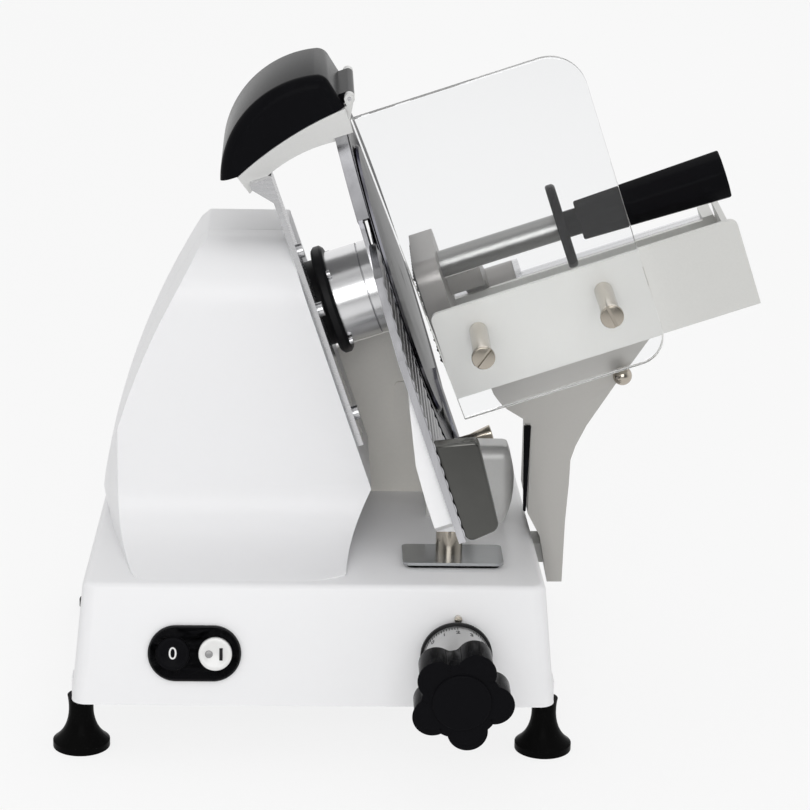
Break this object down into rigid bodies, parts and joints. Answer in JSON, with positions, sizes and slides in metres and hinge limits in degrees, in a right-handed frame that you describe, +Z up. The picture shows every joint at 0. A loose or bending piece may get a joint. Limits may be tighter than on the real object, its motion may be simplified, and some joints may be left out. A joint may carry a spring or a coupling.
{
  "type": "meat slicer",
  "caption": "Tilted-blade food slicer with round knife, sliding tray and swing-over press, clear guard, thickness plate and dial, and a flip-up sharpener cover.",
  "frame": {"origin": "centre of the whole outline, on the surface the feet stand on", "axes": "+Z up, -Y towards the operator, +X to the operator's right, the side the food comes from"},
  "size_m": [0.4594, 0.3704, 0.4807],
  "materials": {
    "white_paint": "gloss white",
    "cast_aluminium": "satin",
    "dark_aluminium": "satin ribbed",
    "sheet_steel": "brushed",
    "blade_steel": "ground",
    "polished_metal": "polished",
    "nickel": "polished",
    "black_plastic": "gloss black",
    "dark_plastic": "matt black",
    "white_plastic": "gloss white",
    "black_rubber": "black",
    "clear_acrylic": "clear",
    "stone": "abrasive",
    "machine_steel": "machined",
    "motor_paint": "satin grey"
  },
  "bodies": {
    "machine": {"base_casting": "white_paint", "bottom_plate": "sheet_steel", "feet": "black_rubber", "motor_tower": "white_paint", "tower_rear_cover": "white_paint", "body_screws": "machine_steel", "hub_flange": "dark_plastic", "hub_housing": "polished_metal", "blade_bearings": "machine_steel", "motor": "motor_paint", "motor_mount": "machine_steel", "drive_belt": "black_rubber", "ring_guard": "cast_aluminium", "ring_pedestal": "cast_aluminium", "rear_web": "white_paint", "blade_cover": "polished_metal", "support_strut": "sheet_steel", "sharpener_bracket": "white_paint", "sharpener_body": "cast_aluminium", "hinge_pin": "machine_steel", "gauge_rod": "machine_steel", "index_pin": "nickel", "switch_bezel": "dark_plastic", "switch_box": "dark_plastic", "power_inlet": "dark_plastic", "slide_rod": "machine_steel"},
    "blade_group": {"blade": "blade_steel", "blade_shaft": "machine_steel", "blade_screws": "machine_steel", "blade_pulley": "cast_aluminium"},
    "motor_drive": {"motor_pulley": "cast_aluminium"},
    "cover_screw": {"cover_knob": "nickel"},
    "grinding_stone_1": {"sharpener_stone_1": "stone"},
    "grinding_stone_2": {"sharpener_stone_2": "stone"},
    "sharpener_lid": {"sharpener_cover": "black_plastic"},
    "thickness_gauge": {"gauge_plate": "dark_aluminium", "gauge_carrier": "white_paint", "gauge_post": "nickel", "gauge_slider": "cast_aluminium", "slot_cover": "sheet_steel", "slot_gasket": "black_rubber"},
    "thickness_dial": {"thickness_knob": "black_plastic", "dial_drum": "dark_aluminium", "knob_shaft": "machine_steel", "cam_disc": "machine_steel"},
    "off_button": {"stop_button": "black_plastic"},
    "on_button": {"start_button": "white_plastic"},
    "carriage": {"slide_block": "cast_aluminium", "carriage_arm": "cast_aluminium", "food_tray": "cast_aluminium", "tray_guard": "clear_acrylic", "guard_spacers": "nickel", "guard_screws": "nickel", "press_rail": "machine_steel"},
    "tray_lock_knob": {"tray_lock": "nickel"},
    "press_slider": {"press_sleeve": "machine_steel"},
    "press": {"press_head": "dark_aluminium", "handle_rod": "cast_aluminium", "hand_shield": "black_plastic", "handle_grip": "black_plastic"}
  },
  "joints": [
    {"name": "blade_spin", "type": "hinge", "parent": "machine", "child": "blade_group", "pos_m": [-0.02475, 0.05475, 0.27734], "axis": [0.9455, 0, 0.3256], "continuous": true},
    {"name": "motor_spin", "type": "hinge", "parent": "machine", "child": "motor_drive", "pos_m": [-0.04734, 0.03975, 0.19553], "axis": [0.9455, 0, 0.3256], "continuous": true},
    {"name": "cover_screw_turn", "type": "hinge", "parent": "machine", "child": "cover_screw", "pos_m": [0.04724, 0.06975, 0.16041], "axis": [0.9455, 0, 0.3256], "range_deg": [0, 720]},
    {"name": "stone_1_spin", "type": "hinge", "parent": "machine", "child": "grinding_stone_1", "pos_m": [-0.05826, 0.03975, 0.42074], "axis": [0.9455, 0, 0.3256], "continuous": true},
    {"name": "stone_2_spin", "type": "hinge", "parent": "machine", "child": "grinding_stone_2", "pos_m": [-0.05826, 0.06975, 0.42074], "axis": [0.9455, 0, 0.3256], "continuous": true},
    {"name": "sharpener_lid_open", "type": "hinge", "parent": "machine", "child": "sharpener_lid", "pos_m": [-0.03676, 0.05175, 0.42127], "axis": [0, 1, 0], "range_deg": [0, 100]},
    {"name": "thickness_dial_turn", "type": "hinge", "parent": "machine", "child": "thickness_dial", "pos_m": [0.03733, -0.11025, 0.075], "axis": [0, -1, 0], "range_deg": [0, 330]},
    {"name": "gauge_slide", "type": "slide", "parent": "machine", "child": "thickness_gauge", "axis": [-1, 0, 0], "range_m": [0, 0.0148]},
    {"name": "off_button_press", "type": "slide", "parent": "machine", "child": "off_button", "axis": [0, 0.9716, -0.2367], "range_m": [0, 0.003], "stiffness_N_per_m": 300, "springref_m": -0.002},
    {"name": "on_button_press", "type": "slide", "parent": "machine", "child": "on_button", "axis": [0, 0.9716, -0.2367], "range_m": [0, 0.003], "stiffness_N_per_m": 300, "springref_m": -0.002},
    {"name": "carriage_slide", "type": "slide", "parent": "machine", "child": "carriage", "axis": [0, 1, 0], "range_m": [-0.105, 0.113]},
    {"name": "tray_lock_turn", "type": "hinge", "parent": "carriage", "child": "tray_lock_knob", "pos_m": [0.14957, -0.00625, 0.23795], "axis": [0, 1, 0], "range_deg": [0, 90]},
    {"name": "press_slide", "type": "slide", "parent": "carriage", "child": "press_slider", "axis": [0.9455, 0, 0.3256], "range_m": [0, 0.11]},
    {"name": "press_swing", "type": "hinge", "parent": "press_slider", "child": "press", "pos_m": [0.06619, 0.11775, 0.25894], "axis": [-0.9455, 0, -0.3256], "range_deg": [0, 90]}
  ],
  "couplings": [
    {"joint": "motor_spin", "follows": "blade_spin", "ratio": 2.5},
    {"joint": "gauge_slide", "follows": "thickness_dial_turn", "m_per_rad": 0.0025696}
  ]
}
